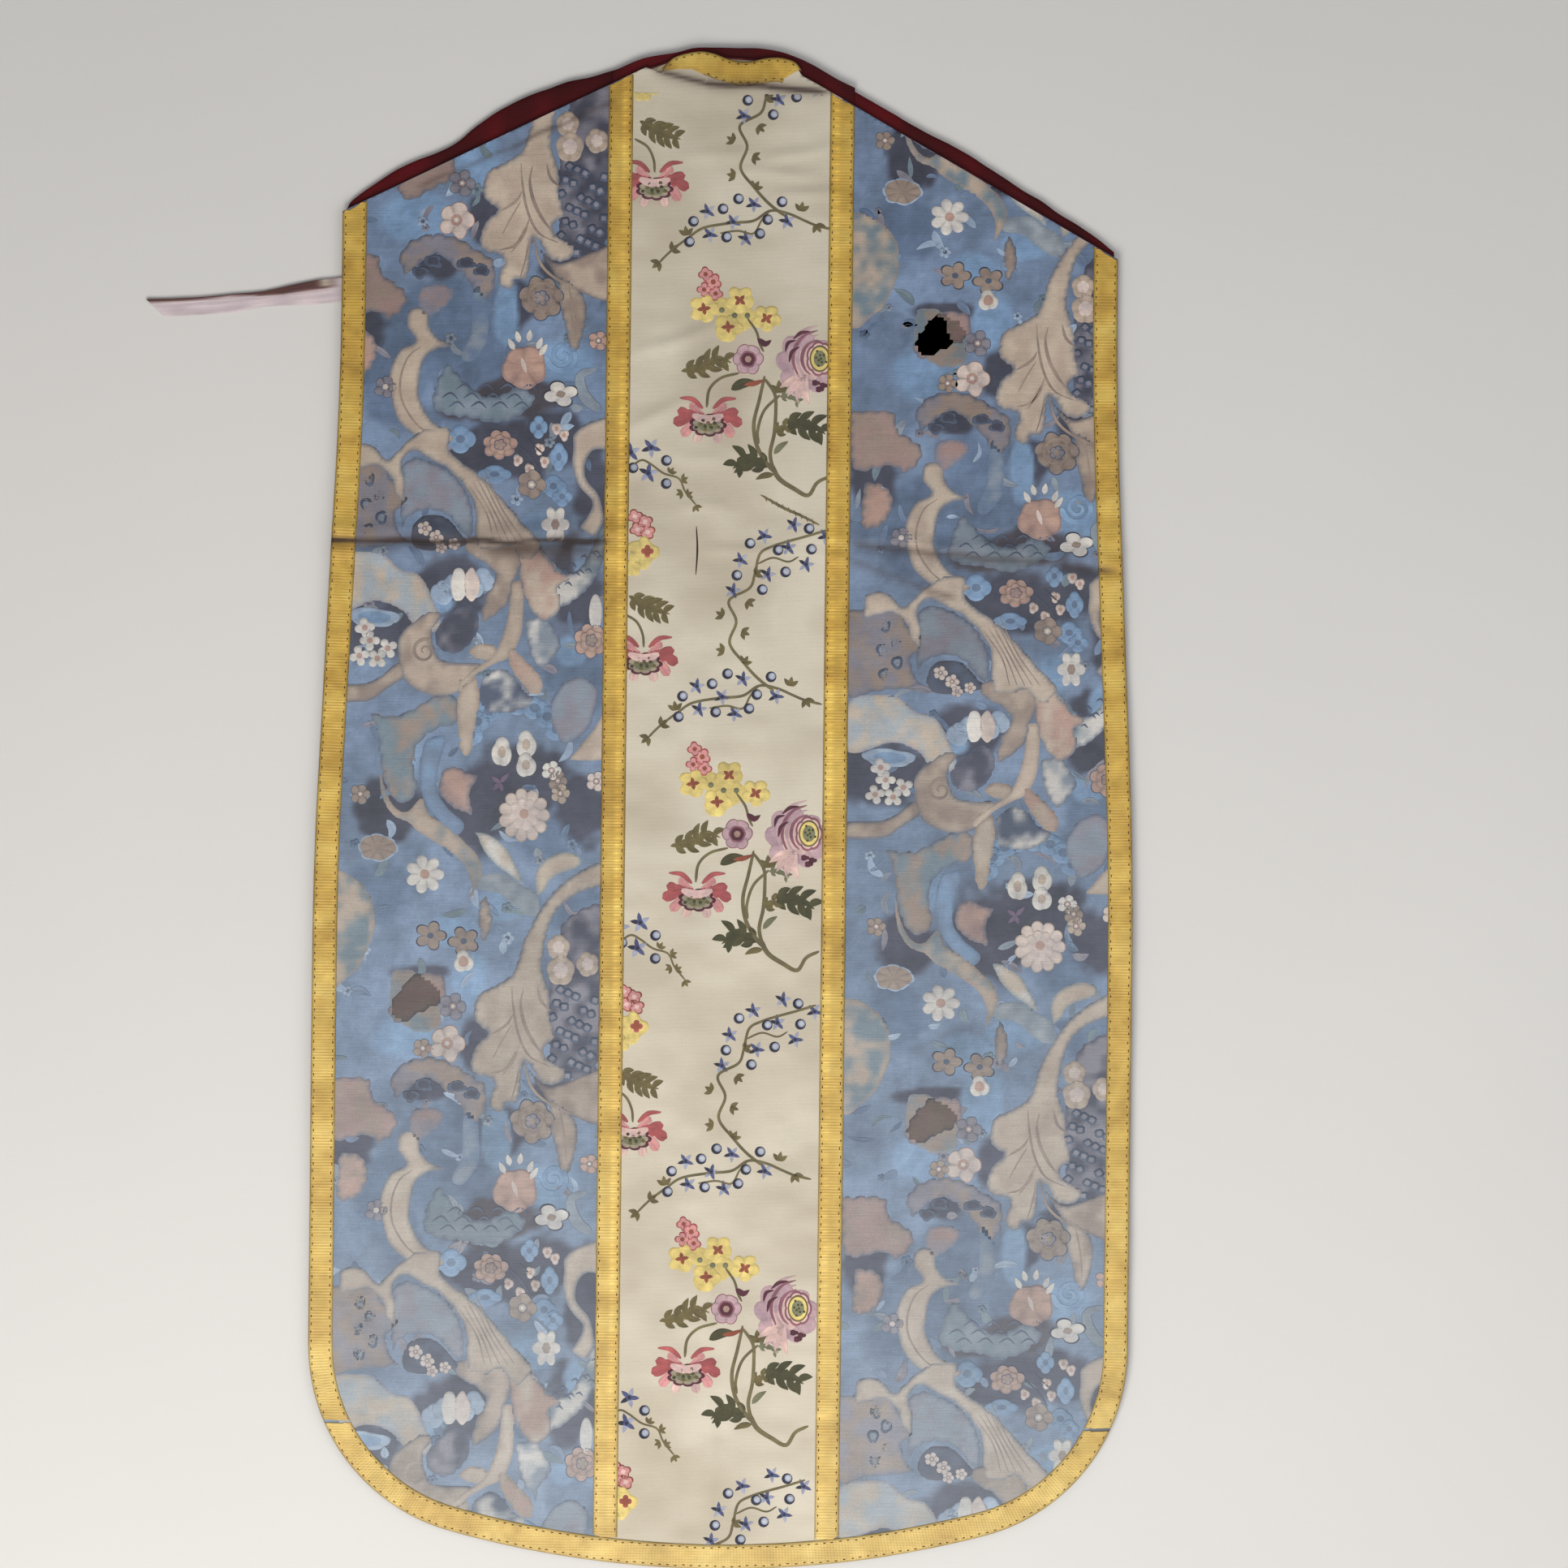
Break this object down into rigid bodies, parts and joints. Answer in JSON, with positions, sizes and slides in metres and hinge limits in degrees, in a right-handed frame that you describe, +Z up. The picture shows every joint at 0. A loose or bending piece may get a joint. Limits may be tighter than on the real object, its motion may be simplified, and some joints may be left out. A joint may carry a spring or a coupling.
{
  "type": "chasuble",
  "caption": "Roman chasuble laid flat: brocade side panels, floral silk column, galloon trimming, lining, shoulder bindings and a ribbon tie.",
  "frame": {"origin": "middle of the garment's box without its tie, on the surface it lies on", "axes": "+X to the wearer's right as the back is seen from above, +Y from hem to neck, +Z up out of the back panel"},
  "size_m": [0.7693, 1.184, 0.0074],
  "materials": {
    "blue_brocade": "figured silk brocade, blue ground with beige, grey and salmon flowers",
    "cream_floral_silk": "cream silk with brocaded flower sprays",
    "gold_galloon": "ribbed golden-yellow braid",
    "linen_interlining": "plain linen canvas",
    "crimson_lining": "dark crimson plain-weave silk",
    "crimson_binding": "dark crimson folded silk",
    "ribbon": "pinkish-white silk ribbon, creased lengthwise"
  },
  "bodies": {
    "front": {"front_brocade_left": "blue_brocade", "front_brocade_right": "blue_brocade", "front_orphrey_silk": "cream_floral_silk", "front_interlining": "linen_interlining", "front_lining": "crimson_lining", "front_column_galloon_left": "gold_galloon", "front_column_galloon_right": "gold_galloon", "front_edge_galloon_left": "gold_galloon", "front_edge_galloon_right": "gold_galloon", "front_hem_galloon": "gold_galloon", "front_neck_galloon": "gold_galloon", "shoulder_binding_left": "crimson_binding", "shoulder_binding_right": "crimson_binding", "tie_ribbon": "ribbon", "tie_anchor": "ribbon"},
    "back": {"back_brocade_left": "blue_brocade", "back_brocade_right": "blue_brocade", "back_orphrey_silk": "cream_floral_silk", "back_interlining": "linen_interlining", "back_lining": "crimson_lining", "back_column_galloon_left": "gold_galloon", "back_column_galloon_right": "gold_galloon", "back_edge_galloon_left": "gold_galloon", "back_edge_galloon_right": "gold_galloon", "back_hem_galloon": "gold_galloon", "back_neck_galloon": "gold_galloon"}
  },
  "joints": [
    {"name": "shoulder_opening", "type": "hinge", "parent": "front", "child": "back", "pos_m": [0, 0.592, 0.0049], "axis": [-1, 0, 0], "range_deg": [0, 30]}
  ]
}
